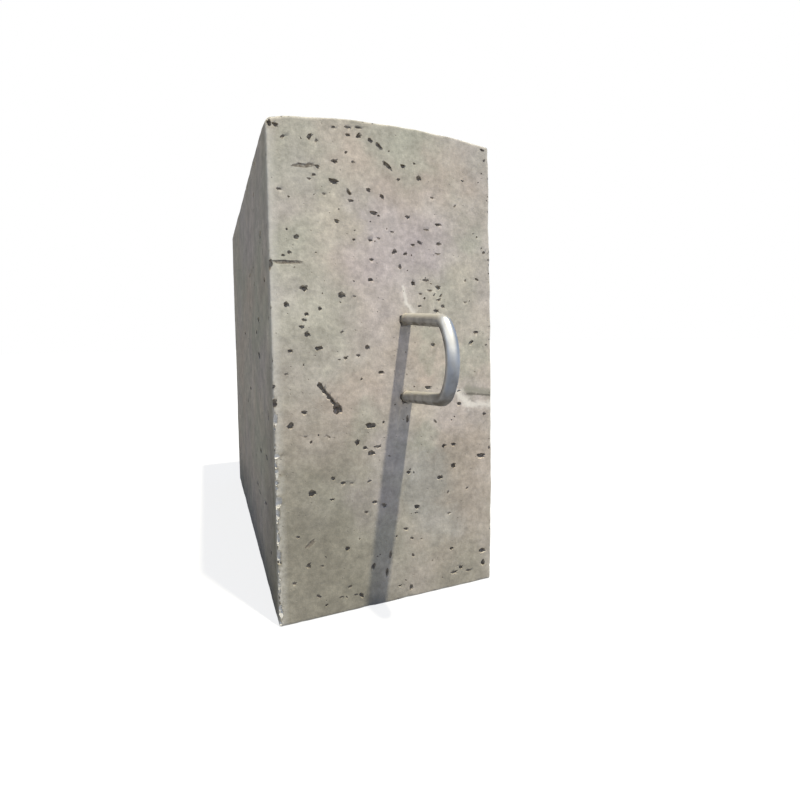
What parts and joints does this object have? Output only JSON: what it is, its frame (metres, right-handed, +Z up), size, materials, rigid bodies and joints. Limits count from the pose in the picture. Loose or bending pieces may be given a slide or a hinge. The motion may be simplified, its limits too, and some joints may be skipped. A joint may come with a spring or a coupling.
{
  "type": "concrete anchor block",
  "caption": "Tall cast concrete anchor block with a bent round-bar lifting loop cast into its front face, to weigh down or tie off other things.",
  "frame": {"origin": "middle of the block's flat underside", "axes": "+Z up; the face with the loop looks along -Y; X across the block's narrow width"},
  "size_m": [0.4, 0.953, 0.8139],
  "materials": {
    "cast_concrete": "as cast, matt, pitted with air voids",
    "steel_bar": "smooth bright drawn bar, cement film near the concrete"
  },
  "bodies": {
    "root": {"concrete_block": "cast_concrete", "lifting_loop": "steel_bar"}
  },
  "joints": []
}
